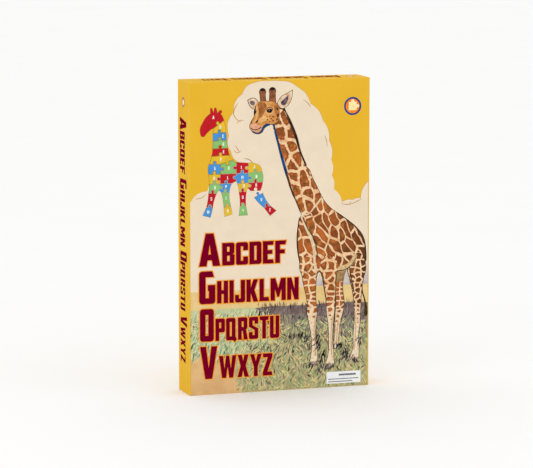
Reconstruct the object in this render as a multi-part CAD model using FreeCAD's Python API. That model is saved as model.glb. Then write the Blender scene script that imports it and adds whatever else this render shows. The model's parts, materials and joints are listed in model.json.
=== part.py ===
import FreeCAD, Part
import math
import os

# A boxed wooden alphabet puzzle, standing on its short end.
#
# The box is a rigid set-up box: a greyboard lid and a greyboard base, each with taped corners and a
# glued paper wrap, and with the lid's skirt reaching down over the whole depth of the base. In the
# base lies a two-layer board insert with a giraffe-shaped window, and in the window stand 26
# interlocking wooden pieces, one for each letter, which together make the giraffe.
#
# Frame: millimetres, +Z up along the long side, +X to the right, the lid's face towards -Y.
# The origin is at the middle of the bottom end, on the surface that the box stands on.

# Driving dimensions of the box
BOX_WIDTH = 260.0
BOX_HEIGHT = 430.0
BOX_DEPTH = 52.0
BOARD = 1.8             # greyboard thickness
PAPER = 0.2             # wrap thickness, with its glue
EDGE_RADIUS = 1.0       # outer radius of the wrapped edges
TURN_IN = 15.0          # how far a wrap is turned in over the rim
STAY = 0.15             # thickness of the paper tape that holds a board corner together
STAY_WIDTH = 14.0       # how far the tape reaches from the corner along each wall
SKIRT_SHORT = 1.0       # the base stands this far out of the skirt, for a finger hold
LID_CLEARANCE = 0.6     # each side, between the lid's turned-in paper and the base
RIM_GAP = 0.3           # between the base's rim and the inside of the lid's face

# The insert and the puzzle
PAD_THICKNESS = 10.0
FRAME_THICKNESS = 10.0
INSERT_CLEARANCE = 0.5
WINDOW_CLEARANCE = 0.8
NOTCH_RADIUS = 11.0
PIECE_THICKNESS = 15.0
SEAT_GAP = 0.2          # between a piece and the pad that it stands on
KERF = 0.4              # saw cut between two pieces
EDGE_ROUNDING = 1.0
PUZZLE_WIDTH = 220.0    # the giraffe's own width, used to centre it
PUZZLE_BASE = 42.0      # height of the giraffe's lowest foot in the box

# The knob of a seam: a round head on a narrower neck with filleted shoulders
KNOB_RADIUS = 5.0
KNOB_RISE = 5.6         # from the seam to the centre of the head
SHOULDER_RADIUS = 1.8

# Heights through the depth of the box, front to back
LID_FACE = -BOX_DEPTH / 2
LID_BOARD_FACE = LID_FACE + PAPER
LID_INSIDE = LID_BOARD_FACE + BOARD
BASE_BACK = BOX_DEPTH / 2
BASE_BOARD_BACK = BASE_BACK - PAPER
BASE_INSIDE = BASE_BOARD_BACK - BOARD
LID_RIM = BASE_BACK - SKIRT_SHORT
BASE_RIM = LID_INSIDE + RIM_GAP
PAD_FRONT = BASE_INSIDE - PAD_THICKNESS
FRAME_FRONT = PAD_FRONT - FRAME_THICKNESS
PIECE_BACK = PAD_FRONT - SEAT_GAP
PIECE_FRONT = PIECE_BACK - PIECE_THICKNESS

# How far each surface lies inside the outer surface of the lid, in width and height
LID_BOARD_INSET = PAPER
LID_HOLLOW_INSET = LID_BOARD_INSET + BOARD
LID_TURN_IN_INSET = LID_HOLLOW_INSET + PAPER
BASE_INSET = LID_TURN_IN_INSET + LID_CLEARANCE
BASE_BOARD_INSET = BASE_INSET + PAPER
BASE_HOLLOW_INSET = BASE_BOARD_INSET + BOARD
BASE_TURN_IN_INSET = BASE_HOLLOW_INSET + PAPER
INSERT_INSET = BASE_HOLLOW_INSET + INSERT_CLEARANCE


# The giraffe is drawn flat, with u to the right and v up, in millimetres. These are the points where
# seams end, on the outline or where seams meet.
POINTS = {
    "jaw": (45, 283),
    "nape": (82, 308),
    "neck_l1": (44, 268),
    "neck_r1": (88.5, 270),
    "neck_l2": (43.5, 243),
    "neck_r2": (91, 245),
    "neck_l3": (42.5, 219),
    "neck_r3": (94.5, 220),
    "neck_l4": (39, 195),
    "neck_r4": (100, 197),
    "chest": (30, 170),
    "shoulder": (112, 182),
    "collar": (70, 170),
    "withers": (121.5, 174.5),
    "back": (162, 171),
    "row1_l": (29, 138),
    "row1_a": (69, 138),
    "row1_b": (121, 138),
    "row1_c": (161.5, 138),
    "row1_r": (208, 141),
    "row2_l": (30.5, 107),
    "row2_a": (68, 107),
    "belly_l": (108, 107),
    "belly": (121, 113),
    "belly_r": (124, 106),
    "row2_c": (161, 107),
    "row2_r": (210, 108),
    "crotch_front": (64, 86),
    "crotch_back": (160, 89),
    "knee1_l": (29, 79),
    "knee1_r": (57, 77),
    "knee2_l": (71, 79),
    "knee2_r": (99, 78),
    "knee3_l": (129, 79),
    "knee3_r": (156, 79),
    "knee4_l": (169, 80),
    "knee4_r": (202, 80),
    "ankle1_l": (22, 34),
    "ankle1_r": (44, 30),
    "ankle2_l": (79, 32),
    "ankle2_r": (104, 35),
    "ankle3_l": (133, 33),
    "ankle3_r": (154, 34),
    "ankle4_l": (185, 35),
    "ankle4_r": (208, 31),
}

# Seams from point to point. The knob rises to the left or the right of that direction; None is plain.
SEAMS = {
    "a_b": ("jaw", "nape", "left"),
    "b_c": ("neck_l1", "neck_r1", "left"),
    "c_d": ("neck_l2", "neck_r2", "left"),
    "d_e": ("neck_l3", "neck_r3", "left"),
    "e_f": ("neck_l4", "neck_r4", "left"),
    "f_g": ("chest", "collar", "left"),
    "f_h": ("collar", "shoulder", "right"),
    "g_h": ("row1_a", "collar", "right"),
    "h_i": ("row1_b", "withers", "left"),
    "i_j": ("row1_c", "back", "left"),
    "g_k": ("row1_l", "row1_a", "left"),
    "h_l": ("row1_a", "row1_b", None),
    "i_m": ("row1_b", "row1_c", "left"),
    "j_n": ("row1_c", "row1_r", "left"),
    "k_l": ("row2_a", "row1_a", "left"),
    "l_m": ("belly", "row1_b", "left"),
    "m_n": ("row2_c", "row1_c", "right"),
    "k_o": ("row2_l", "row2_a", "left"),
    "l_p": ("row2_a", "belly_l", "left"),
    "m_q": ("belly_r", "row2_c", "left"),
    "n_r": ("row2_c", "row2_r", "left"),
    "o_p": ("crotch_front", "row2_a", "right"),
    "q_r": ("crotch_back", "row2_c", "right"),
    "o_s": ("knee1_l", "knee1_r", "left"),
    "p_t": ("knee2_l", "knee2_r", "left"),
    "q_u": ("knee3_l", "knee3_r", "left"),
    "r_v": ("knee4_l", "knee4_r", "left"),
    "s_w": ("ankle1_l", "ankle1_r", "left"),
    "t_x": ("ankle2_l", "ankle2_r", "left"),
    "u_y": ("ankle3_l", "ankle3_r", "left"),
    "v_z": ("ankle4_l", "ankle4_r", "left"),
}

# Stretches of the outline. Each is a list of runs: two points make a straight edge, and three an arc
# through the middle one.
OUTLINE = {
    "head": [
        ["nape", (77.5, 320), (71, 330)],
        [(71, 330), (72.5, 340.5), (65, 339.5)],
        [(65, 339.5), (60.5, 333)],
        [(60.5, 333), (57, 346)],
        [(57, 346), (52.5, 350), (48.5, 345.5)],
        [(48.5, 345.5), (46.5, 335)],
        [(46.5, 335), (43.5, 345.5)],
        [(43.5, 345.5), (39, 349.5), (35, 345)],
        [(35, 345), (35.5, 331)],
        [(35.5, 331), (20, 318.5), (9, 300)],
        [(9, 300), (1.5, 284), (3, 266)],
        [(3, 266), (9.5, 257.5), (19, 260.5)],
        [(19, 260.5), (30.5, 273.5), "jaw"],
    ],
    "throat": [["jaw", "neck_l1"]],
    "neck_front_c": [["neck_l1", "neck_l2"]],
    "neck_front_d": [["neck_l2", "neck_l3"]],
    "neck_front_e": [["neck_l3", (41.5, 206), "neck_l4"]],
    "neck_front_f": [["neck_l4", (36, 182.5), "chest"]],
    "chest_g": [["chest", (27, 154), "row1_l"]],
    "chest_k": [["row1_l", (30.8, 122), "row2_l"]],
    "chest_o": [["row2_l", (30.5, 92), "knee1_l"]],
    "shin1_l": [["knee1_l", (26.5, 56), "ankle1_l"]],
    "hoof1": [["ankle1_l", (9, 8)], [(9, 8), (36, 0)], [(36, 0), "ankle1_r"]],
    "shin1_r": [["ankle1_r", (48.5, 54), "knee1_r"]],
    "crotch_o": [["knee1_r", "crotch_front"]],
    "crotch_p": [["crotch_front", "knee2_l"]],
    "shin2_l": [["knee2_l", (76.5, 55), "ankle2_l"]],
    "hoof2": [["ankle2_l", (82, 1)], [(82, 1), (109, 8)], [(109, 8), "ankle2_r"]],
    "shin2_r": [["ankle2_r", (99.5, 56), "knee2_r"]],
    "thigh2": [["knee2_r", (101.5, 93), "belly_l"]],
    "belly_p": [["belly_l", "belly"]],
    "belly_q": [["belly", "belly_r"]],
    "thigh3": [["belly_r", (127.5, 92), "knee3_l"]],
    "shin3_l": [["knee3_l", (132.5, 56), "ankle3_l"]],
    "hoof3": [["ankle3_l", (129, 2)], [(129, 2), (160, 3)], [(160, 3), "ankle3_r"]],
    "shin3_r": [["ankle3_r", (153.5, 56), "knee3_r"]],
    "crotch_q": [["knee3_r", "crotch_back"]],
    "crotch_r": [["crotch_back", "knee4_l"]],
    "shin4_l": [["knee4_l", (175, 57), "ankle4_l"]],
    "hoof4": [["ankle4_l", (193, 1)], [(193, 1), (220, 7)], [(220, 7), "ankle4_r"]],
    "shin4_r": [["ankle4_r", (202.5, 55), "knee4_r"]],
    "haunch_r": [["knee4_r", (207.5, 94), "row2_r"]],
    "haunch_n": [["row2_r", (211.5, 125), "row1_r"]],
    "rump": [["row1_r", (203.5, 156), (192, 166)], [(192, 166), (178, 170.5), "back"]],
    "spine": [["back", "withers"]],
    "scruff_h": [["withers", (116, 177), "shoulder"]],
    "scruff_f": [["shoulder", (104.5, 188), "neck_r4"]],
    "nape_e": [["neck_r4", (96.5, 208), "neck_r3"]],
    "nape_d": [["neck_r3", "neck_r2"]],
    "nape_c": [["neck_r2", "neck_r1"]],
    "nape_b": [["neck_r1", (86, 289), "nape"]],
}

# The seams and stretches of outline around each piece
PIECES = {
    "a": ("a_b", "head"),
    "b": ("a_b", "nape_b", "b_c", "throat"),
    "c": ("b_c", "nape_c", "c_d", "neck_front_c"),
    "d": ("c_d", "nape_d", "d_e", "neck_front_d"),
    "e": ("d_e", "nape_e", "e_f", "neck_front_e"),
    "f": ("e_f", "scruff_f", "f_h", "f_g", "neck_front_f"),
    "g": ("f_g", "g_h", "g_k", "chest_g"),
    "h": ("f_h", "scruff_h", "h_i", "h_l", "g_h"),
    "i": ("spine", "i_j", "i_m", "h_i"),
    "j": ("rump", "j_n", "i_j"),
    "k": ("g_k", "k_l", "k_o", "chest_k"),
    "l": ("h_l", "l_m", "belly_p", "l_p", "k_l"),
    "m": ("i_m", "m_n", "m_q", "belly_q", "l_m"),
    "n": ("j_n", "haunch_n", "n_r", "m_n"),
    "o": ("k_o", "o_p", "crotch_o", "o_s", "chest_o"),
    "p": ("l_p", "thigh2", "p_t", "crotch_p", "o_p"),
    "q": ("m_q", "q_r", "crotch_q", "q_u", "thigh3"),
    "r": ("n_r", "haunch_r", "r_v", "crotch_r", "q_r"),
    "s": ("o_s", "shin1_r", "s_w", "shin1_l"),
    "t": ("p_t", "shin2_r", "t_x", "shin2_l"),
    "u": ("q_u", "shin3_r", "u_y", "shin3_l"),
    "v": ("r_v", "shin4_r", "v_z", "shin4_l"),
    "w": ("s_w", "hoof1"),
    "x": ("t_x", "hoof2"),
    "y": ("u_y", "hoof3"),
    "z": ("v_z", "hoof4"),
}

# Finger notches in the insert, beside the neck and beside the chest, where a thumb gets under a piece
NOTCHES = [(103, 232), (24, 122)]


def place(point):
    """A flat point of the giraffe, or the name of one, as a point in the box at depth 0."""
    u, v = POINTS[point] if isinstance(point, str) else point
    return FreeCAD.Vector(u - PUZZLE_WIDTH / 2, 0, v + PUZZLE_BASE)


def run_edge(run):
    """One run of the outline as an edge."""
    corners = [place(p) for p in run]
    if len(corners) == 2:
        return Part.LineSegment(*corners).toShape()
    return Part.Arc(*corners).toShape()


def seam_edges(start, end, side):
    """A seam's edges from start to end, with a knob in its middle on the named side."""
    first, last = place(start), place(end)
    if side is None:
        return [Part.LineSegment(first, last).toShape()]
    along = (last - first).normalize()
    up = FreeCAD.Vector(-along.z, 0, along.x) * (1 if side == "left" else -1)
    middle = (first + last) * 0.5

    def at(x, y):
        return middle + along * x + up * y

    # The shoulder's circle touches the seam and the head's circle from outside.
    reach = KNOB_RADIUS + SHOULDER_RADIUS
    shoulder = math.sqrt(reach**2 - (KNOB_RISE - SHOULDER_RADIUS) ** 2)
    share = SHOULDER_RADIUS / reach
    touch_x = shoulder * (1 - share)
    touch_y = SHOULDER_RADIUS + (KNOB_RISE - SHOULDER_RADIUS) * share
    lean = math.atan2(touch_y - SHOULDER_RADIUS, touch_x - shoulder)
    half_way = (lean + 1.5 * math.pi) / 2
    inner_x = shoulder + SHOULDER_RADIUS * math.cos(half_way)
    inner_y = SHOULDER_RADIUS + SHOULDER_RADIUS * math.sin(half_way)
    return [
        Part.LineSegment(first, at(-shoulder, 0)).toShape(),
        Part.Arc(at(-shoulder, 0), at(-inner_x, inner_y), at(-touch_x, touch_y)).toShape(),
        Part.Arc(at(-touch_x, touch_y), at(0, KNOB_RISE + KNOB_RADIUS), at(touch_x, touch_y)).toShape(),
        Part.Arc(at(touch_x, touch_y), at(inner_x, inner_y), at(shoulder, 0)).toShape(),
        Part.LineSegment(at(shoulder, 0), last).toShape(),
    ]


def flat_face(edges):
    """The flat face inside a closed loop of edges given in any order."""
    return Part.Face(Part.Wire(Part.__sortEdges__(edges)))


def box_inside(inset, front, back):
    """A block that lies inset from the lid's outer surface in width and height."""
    width, height = BOX_WIDTH - 2 * inset, BOX_HEIGHT - 2 * inset
    corner = FreeCAD.Vector(-width / 2, front, inset)
    return Part.makeBox(width, back - front, height, corner)


def rounded_box(inset, front, back, closed_end):
    """The same block with the edges along its depth, and those round its closed end, rounded."""
    block = box_inside(inset, front, back)
    radius = EDGE_RADIUS - abs(closed_end - (LID_FACE if closed_end < 0 else BASE_BACK))
    along_depth = [e for e in block.Edges if e.BoundBox.YLength > 1]
    round_end = [e for e in block.Edges if abs(e.BoundBox.YMin - closed_end) + e.BoundBox.YLength < 0.01]
    return block.makeFillet(radius, along_depth + round_end)


def make_corner_stays(tray, inset, front, back):
    """Four L-shaped tapes, let into the outside of a board tray's corners."""
    ring = tray.cut(box_inside(inset + STAY, front, back))
    stays = []
    for side in (-1, 1):
        for end in (-1, 1):
            x = side * (BOX_WIDTH / 2 - inset - STAY_WIDTH / 2) - STAY_WIDTH / 2
            z = BOX_HEIGHT / 2 + end * (BOX_HEIGHT / 2 - inset - STAY_WIDTH / 2) - STAY_WIDTH / 2
            corner = Part.makeBox(STAY_WIDTH, back - front, STAY_WIDTH, FreeCAD.Vector(x, front, z))
            stays.append(ring.common(corner))
    return Part.makeCompound(stays)


def make_lid():
    """The lid's greyboard tray, open towards the back, its corner stays and its printed paper wrap."""
    board_rim = LID_RIM - PAPER
    hollow = box_inside(LID_HOLLOW_INSET, LID_INSIDE, board_rim)
    solid = rounded_box(LID_BOARD_INSET, LID_BOARD_FACE, board_rim, LID_BOARD_FACE)
    stays = make_corner_stays(solid, LID_BOARD_INSET, LID_INSIDE, board_rim)
    board = solid.cut(hollow).cut(stays)
    turned_in = box_inside(LID_TURN_IN_INSET, LID_RIM - TURN_IN, LID_RIM)
    open_part = box_inside(LID_HOLLOW_INSET, LID_INSIDE, LID_RIM - TURN_IN).fuse(turned_in)
    outside = rounded_box(0, LID_FACE, LID_RIM, LID_FACE)
    wrap = outside.cut(board).cut(stays).cut(open_part)
    return {"lid_board": board, "lid_corner_stays": stays, "lid_wrap": wrap}


def make_base():
    """The base's greyboard tray, open towards the front, its corner stays and its plain paper wrap."""
    board_rim = BASE_RIM + PAPER
    hollow = box_inside(BASE_HOLLOW_INSET, board_rim, BASE_INSIDE)
    solid = rounded_box(BASE_BOARD_INSET, board_rim, BASE_BOARD_BACK, BASE_BOARD_BACK)
    stays = make_corner_stays(solid, BASE_BOARD_INSET, board_rim, BASE_INSIDE)
    board = solid.cut(hollow).cut(stays)
    turned_in = box_inside(BASE_TURN_IN_INSET, BASE_RIM, BASE_RIM + TURN_IN)
    open_part = box_inside(BASE_HOLLOW_INSET, BASE_RIM + TURN_IN, BASE_INSIDE).fuse(turned_in)
    outside = rounded_box(BASE_INSET, BASE_RIM, BASE_BACK, BASE_BACK)
    wrap = outside.cut(board).cut(stays).cut(open_part)
    return {"base_board": board, "base_corner_stays": stays, "base_wrap": wrap}


def make_insert():
    """The plain pad on the base's floor, and the frame on it with the giraffe's window and notches."""
    pad = box_inside(INSERT_INSET, PAD_FRONT, BASE_INSIDE)
    outline = flat_face([run_edge(run) for runs in OUTLINE.values() for run in runs])
    window = outline.makeOffset2D(WINDOW_CLEARANCE)
    depth = FreeCAD.Vector(0, FRAME_THICKNESS, 0)
    window.translate(FreeCAD.Vector(0, FRAME_FRONT, 0))
    frame = box_inside(INSERT_INSET, FRAME_FRONT, PAD_FRONT).cut(window.extrude(depth))
    for notch in NOTCHES:
        centre = place(notch) + FreeCAD.Vector(0, FRAME_FRONT, 0)
        frame = frame.cut(Part.makeCylinder(NOTCH_RADIUS, FRAME_THICKNESS, centre, depth))
    return {"insert_pad": pad, "insert_frame": frame}


def make_piece(names):
    """One wooden piece: the area inside its seams and outline, less half a saw cut all round."""
    edges = []
    for name in names:
        if name in SEAMS:
            edges += seam_edges(*SEAMS[name])
        else:
            edges += [run_edge(run) for run in OUTLINE[name]]
    sawn = flat_face(edges).makeOffset2D(-KERF / 2)
    sawn.translate(FreeCAD.Vector(0, PIECE_FRONT, 0))
    block = sawn.extrude(FreeCAD.Vector(0, PIECE_THICKNESS, 0))
    rims = [e for e in block.Edges if abs(e.BoundBox.YMax - e.BoundBox.YMin) < 0.1]
    return block.makeFillet(EDGE_ROUNDING, rims)


def main():
    os.makedirs("parts", exist_ok=True)
    nodes = {**make_lid(), **make_base(), **make_insert()}
    for letter, names in PIECES.items():
        nodes[f"piece_{letter}"] = make_piece(names)
    for name, shape in nodes.items():
        single = shape.Solids[0] if len(shape.Solids) == 1 else shape
        single.exportStep(f"parts/{name}.step")


main()
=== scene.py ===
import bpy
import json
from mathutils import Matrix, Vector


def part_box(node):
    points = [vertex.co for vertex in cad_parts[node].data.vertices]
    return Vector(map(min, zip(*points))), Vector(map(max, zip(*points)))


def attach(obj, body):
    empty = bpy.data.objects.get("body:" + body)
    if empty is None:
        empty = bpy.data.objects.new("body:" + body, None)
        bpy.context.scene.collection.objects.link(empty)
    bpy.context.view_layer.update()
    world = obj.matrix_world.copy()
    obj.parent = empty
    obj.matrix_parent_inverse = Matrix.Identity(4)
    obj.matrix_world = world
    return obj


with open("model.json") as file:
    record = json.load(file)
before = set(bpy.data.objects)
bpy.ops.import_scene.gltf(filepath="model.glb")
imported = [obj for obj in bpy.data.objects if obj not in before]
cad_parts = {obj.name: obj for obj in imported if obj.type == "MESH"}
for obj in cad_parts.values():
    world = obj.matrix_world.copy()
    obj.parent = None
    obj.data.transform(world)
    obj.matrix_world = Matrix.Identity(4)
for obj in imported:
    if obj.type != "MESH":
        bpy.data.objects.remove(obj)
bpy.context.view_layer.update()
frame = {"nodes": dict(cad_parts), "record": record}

import json
import math
import random

import bmesh
import bpy
from mathutils import Matrix, Vector

# The looks of a boxed wooden alphabet puzzle: a printed lid, its plain base, the board insert and the
# 26 painted wooden pieces. The print is built up from very thin layers of ink on the lid. Artwork on
# the face is drawn in millimetres: x from the middle of the face, y from its lower edge.

MM = 0.001
INK_STEP = 0.025 * MM       # height of one layer of ink above the one below
INK_THICKNESS = 0.02 * MM

LID_LOW, LID_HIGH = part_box("lid_wrap")
FACE_WIDTH = (LID_HIGH.x - LID_LOW.x) / MM
FACE_HEIGHT = LID_HIGH.z / MM
SKIRT = (LID_HIGH.y - LID_LOW.y) / MM
MARGIN = 1.8                # yellow left at the fold lines beside the picture
PICTURE_LEFT = MARGIN - FACE_WIDTH / 2
PICTURE_RIGHT = FACE_WIDTH / 2 - MARGIN
HORIZON = 143.0
GRASS_TOP = 117.0
BLEED = 0.7                 # the picture stops this far above the lid's lower edge

LETTERS = "abcdefghijklmnopqrstuvwxyz"
PIECE_COLOURS = dict(zip(LETTERS, "rybgrybgryyrbggbyrrgrbbygr"))


def paint(red, green, blue):
    """A colour as seen, from 0 to 255, in Blender's linear values."""
    shares = [value / 255 for value in (red, green, blue)]
    linear = [s / 12.92 if s <= 0.04045 else ((s + 0.055) / 1.055) ** 2.4 for s in shares]
    return (*linear, 1.0)


YELLOW = paint(231, 182, 52)
CREAM = paint(237, 219, 193)
TAN = paint(232, 203, 143)
MAROON = paint(112, 0, 34)
WHITE = paint(246, 246, 242)
PIECE_PAINT = {
    "r": paint(198, 28, 38),
    "y": paint(232, 190, 48),
    "b": paint(74, 150, 216),
    "g": paint(140, 196, 112),
}


# ---- Materials ----

class Shader:
    """A material's node tree, with short calls that add nodes. Lengths are in millimetres."""

    def __init__(self, name, roughness, specular, coat=0.0):
        self.material = bpy.data.materials.new(name)
        self.material.use_nodes = True
        self.tree = self.material.node_tree
        self.surface = self.tree.nodes["Principled BSDF"]
        self.surface.inputs["Roughness"].default_value = roughness
        self.surface.inputs["Specular IOR Level"].default_value = specular
        self.surface.inputs["Coat Weight"].default_value = coat
        self.surface.inputs["Coat Roughness"].default_value = 0.25

    def fill(self, socket, value):
        if isinstance(value, bpy.types.NodeSocket):
            self.tree.links.new(value, socket)
        else:
            socket.default_value = value

    def node(self, kind, inputs, output=0, **settings):
        made = self.tree.nodes.new("ShaderNode" + kind)
        for key, value in settings.items():
            setattr(made, key, value)
        for key, value in inputs.items():
            self.fill(made.inputs[key], value)
        return made.outputs[output]

    def position(self, stretch=(1, 1, 1), turn=0.0):
        """The place on the object in millimetres, turned about the depth axis and then stretched."""
        place = self.tree.nodes.new("ShaderNodeTexCoord").outputs["Object"]
        turned = self.node("VectorRotate", {"Vector": place, "Axis": (0, 1, 0), "Angle": turn})
        scale = [1 / (MM * s) for s in stretch]
        return self.node("VectorMath", {0: turned, 1: scale}, operation="MULTIPLY")

    def noise(self, size, detail=2.0, where=None, output=0):
        where = where or self.position()
        return self.node("TexNoise", {"Vector": where, "Scale": 1 / size, "Detail": detail}, output)

    def ramp(self, value, low, high, to_low=0.0, to_high=1.0):
        """A value's place between two limits, as a number between two others."""
        limits = {"Value": value, "From Min": low, "From Max": high, "To Min": to_low, "To Max": to_high}
        return self.node("MapRange", limits)

    def calculate(self, operation, one, other=0.0):
        return self.node("Math", {0: one, 1: other}, operation=operation)

    def plus(self, one, other):
        return self.calculate("ADD", one, other)

    def minus(self, one, other):
        return self.calculate("SUBTRACT", one, other)

    def times(self, one, other):
        return self.calculate("MULTIPLY", one, other)

    def larger(self, one, other):
        return self.calculate("MAXIMUM", one, other)

    def absolute(self, value):
        return self.calculate("ABSOLUTE", value)

    def mix(self, one, other, factor, blend_type="MIX"):
        sockets = {0: factor, 6: one, 7: other}
        return self.node("Mix", sockets, output=2, data_type="RGBA", blend_type=blend_type)

    def axis(self, name, where=None):
        output = "XYZ".index(name)
        return self.node("SeparateXYZ", {0: where or self.position()}, output)

    def grained(self, colour, darkest, lightest):
        """The colour with a fine grain from darkest to lightest."""
        grain = self.ramp(self.noise(0.8, 2.0), 0.3, 0.7, darkest, lightest)
        grey = self.node("CombineColor", {0: grain, 1: grain, 2: grain})
        return self.mix(colour, grey, 1.0, "MULTIPLY")

    def facing(self):
        """How squarely a surface faces the front or the back, from 0 to 1."""
        return self.absolute(self.axis("Y", self.node("NewGeometry", {}, 1)))

    def colour(self, value):
        self.fill(self.surface.inputs["Base Color"], value)

    def rough(self, value):
        self.fill(self.surface.inputs["Roughness"], value)

    def bump(self, height, depth):
        facts = {"Height": height, "Strength": 0.6, "Distance": depth * MM}
        self.fill(self.surface.inputs["Normal"], self.node("Bump", facts))


def shade(colour, factor):
    """A darker or lighter version of a colour."""
    return (*[min(1.0, channel * factor) for channel in colour[:3]], 1.0)


def paper_finish(s, raised=0.0):
    """Laminated art paper: fine fibres and a slight unevenness of the sheen. raised is where, from 0 to 1,
    a second thickness of paper lies."""
    fibres = s.times(s.noise(0.9, 4.0), 0.3)
    s.bump(s.plus(fibres, raised), 0.1)
    s.rough(s.ramp(s.noise(30, 2.0), 0.3, 0.7, 0.46, 0.58))


def printed(name, colour, second, patch=24.0, specular=0.06, fibrous=False):
    """Ink on art paper: one colour that drifts towards a second, with fine grain. A broad area is
    fibrous too."""
    s = Shader(name, 0.52, specular)
    drift = s.ramp(s.noise(patch, 3.0), 0.35, 0.68)
    s.colour(s.grained(s.mix(colour, second, drift), 0.95, 1.04))
    if fibrous:
        paper_finish(s)
    return s.material


def sky_ink():
    """The cream sky, with a lilac haze low on the right, over the horizon."""
    s = Shader("sky_ink", 0.45, 0.08)
    cream = s.mix(CREAM, shade(CREAM, 0.95), s.ramp(s.noise(18, 4.0), 0.3, 0.7))
    low = s.ramp(s.axis("Z"), HORIZON + 34, HORIZON + 4)
    right = s.ramp(s.axis("X"), 20, 62)
    haze = s.times(s.times(low, right), s.ramp(s.noise(9, 3.0), 0.3, 0.6, 0.5, 1.0))
    s.colour(s.mix(cream, paint(180, 170, 178), haze))
    paper_finish(s)
    return s.material


def coat_ink(name, cell, net, turn, tall, shrink=0.0, sink=0.0, fade=None, dark_side=None):
    """A coat of brown patches in a pale net. cell and net are the sizes of a patch and of a line of the
    net. The patches shrink towards the right and get flatter downwards. fade gives the heights between
    which a leg turns pale, and dark_side the places between which the patches turn dark."""
    s = Shader(name, 0.5, 0.06)
    place = s.position((1, 1, tall), turn)
    drift = s.noise(cell, 1.0, place, 1)
    sway = s.node("VectorMath", {0: drift, 1: (0.5, 0.5, 0.5)}, operation="SUBTRACT")
    swayed = s.node("VectorMath", {0: sway, 1: (cell * 0.5,) * 3, 2: place}, operation="MULTIPLY_ADD")
    across, up = s.axis("X", swayed), s.axis("Z", swayed)
    across = s.plus(across, s.times(s.times(across, across), shrink))
    below = s.minus(HORIZON + 40, s.axis("Z"))
    up = s.minus(up, s.times(s.times(below, below), sink))
    facts = {"Vector": s.node("CombineXYZ", {0: across, 1: up}), "Scale": 1 / cell, "Randomness": 0.72}
    drawn = s.node("TexVoronoi", facts, voronoi_dimensions="2D", feature="DISTANCE_TO_EDGE")
    border = s.plus(drawn, s.ramp(s.noise(cell * 0.3, 2.0), 0.3, 0.7, -0.045, 0.045))
    if fade:
        border = s.minus(border, s.ramp(s.axis("Z"), fade[0], fade[1], 0.42, 0.0))
    tone = s.node("SeparateColor", {0: s.node("TexVoronoi", facts, output=1, voronoi_dimensions="2D")})
    half_net = net / cell / 2
    patch = s.ramp(border, half_net * 0.85, half_net * 1.15)
    brown = s.mix(paint(188, 102, 46), paint(138, 72, 32), tone)
    olive = s.ramp(s.noise(cell * 0.45, 3.0), 0.47, 0.66, 0.0, 0.85)
    brushed = s.mix(brown, paint(102, 72, 30), olive)
    warmth = s.ramp(s.noise(cell * 0.35, 3.0), 0.52, 0.68, 0.0, 0.75)
    warmed = s.mix(brushed, paint(212, 134, 64), warmth)
    rimmed = s.mix(paint(146, 58, 32), warmed, s.ramp(border, half_net, half_net + 0.12))
    if dark_side:
        side = s.ramp(s.axis("X"), *dark_side)
        rimmed = s.mix(rimmed, paint(58, 34, 24), s.times(side, 0.8))
    pale = s.mix(paint(242, 208, 164), paint(218, 168, 114), s.ramp(s.noise(5, 3.0), 0.4, 0.7))
    if fade:
        shank = s.mix(paint(236, 218, 188), paint(206, 170, 132), s.ramp(s.noise(4, 3.0), 0.48, 0.66))
        pale = s.mix(shank, pale, s.ramp(s.axis("Z"), fade[0] + 10, fade[1] + 20))
    s.colour(s.mix(pale, rimmed, patch))
    s.bump(s.noise(0.9, 4.0), 0.03)
    return s.material


TUCK = 14.0                 # how far the wrap's folded corners reach along the box's ends


def worn_wrap():
    """The yellow paper of the box, tucked at the corners of its ends and rubbed along its folds."""
    s = Shader("wrap_paper", 0.5, 0.01)
    tone = s.mix(YELLOW, paint(228, 178, 47), s.ramp(s.noise(60, 5.0), 0.35, 0.7))
    normal = s.node("NewGeometry", {}, 1)
    across, deep, up = [s.absolute(s.axis(name, normal)) for name in "XYZ"]
    on_an_end = s.ramp(up, 0.9, 0.95)
    from_middle = s.absolute(s.axis("X"))
    seam = FACE_WIDTH / 2 - TUCK
    tuck = s.times(s.ramp(from_middle, seam - 0.2, seam + 0.2), on_an_end)
    near_seam = s.ramp(s.absolute(s.minus(from_middle, seam)), 0.5, 0.1)
    shadow = s.times(s.times(near_seam, on_an_end), 0.6)
    seamed = s.mix(s.grained(tone, 0.97, 1.03), paint(186, 132, 22), shadow)
    flatness = s.larger(s.larger(across, deep), up)
    fold = s.ramp(flatness, 0.99, 0.84)
    rubbed = s.times(fold, s.ramp(s.noise(7, 5.0), 0.38, 0.62, 0.1, 0.65))
    s.colour(s.mix(seamed, paint(243, 200, 104), rubbed))
    paper_finish(s, tuck)
    return s.material


def painted_wood(name, colour):
    """Satin paint on wood: the grain shows a little on the face, and the sawn sides are thinly painted."""
    s = Shader(name, 0.36, 0.4, coat=0.15)
    grain_place = s.position((1, 1, 9))
    grain = s.noise(2.2, 4.0, grain_place)
    face = s.mix(colour, shade(colour, 0.86), s.ramp(grain, 0.4, 0.75))
    sawn = s.mix(paint(206, 164, 112), paint(170, 124, 78), s.ramp(grain, 0.35, 0.65))
    side = s.mix(sawn, shade(colour, 0.8), s.ramp(s.noise(3.0, 3.0), 0.25, 0.5, 0.55, 0.95))
    edge_wear = s.ramp(s.noise(4.0, 5.0), 0.6, 0.7, 0.0, 0.3)
    worn = s.mix(side, paint(226, 196, 150), edge_wear)
    s.colour(s.mix(worn, face, s.ramp(s.facing(), 0.55, 0.97)))
    s.rough(s.ramp(grain, 0.3, 0.7, 0.3, 0.46))
    s.bump(grain, 0.12)
    return s.material


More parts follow.
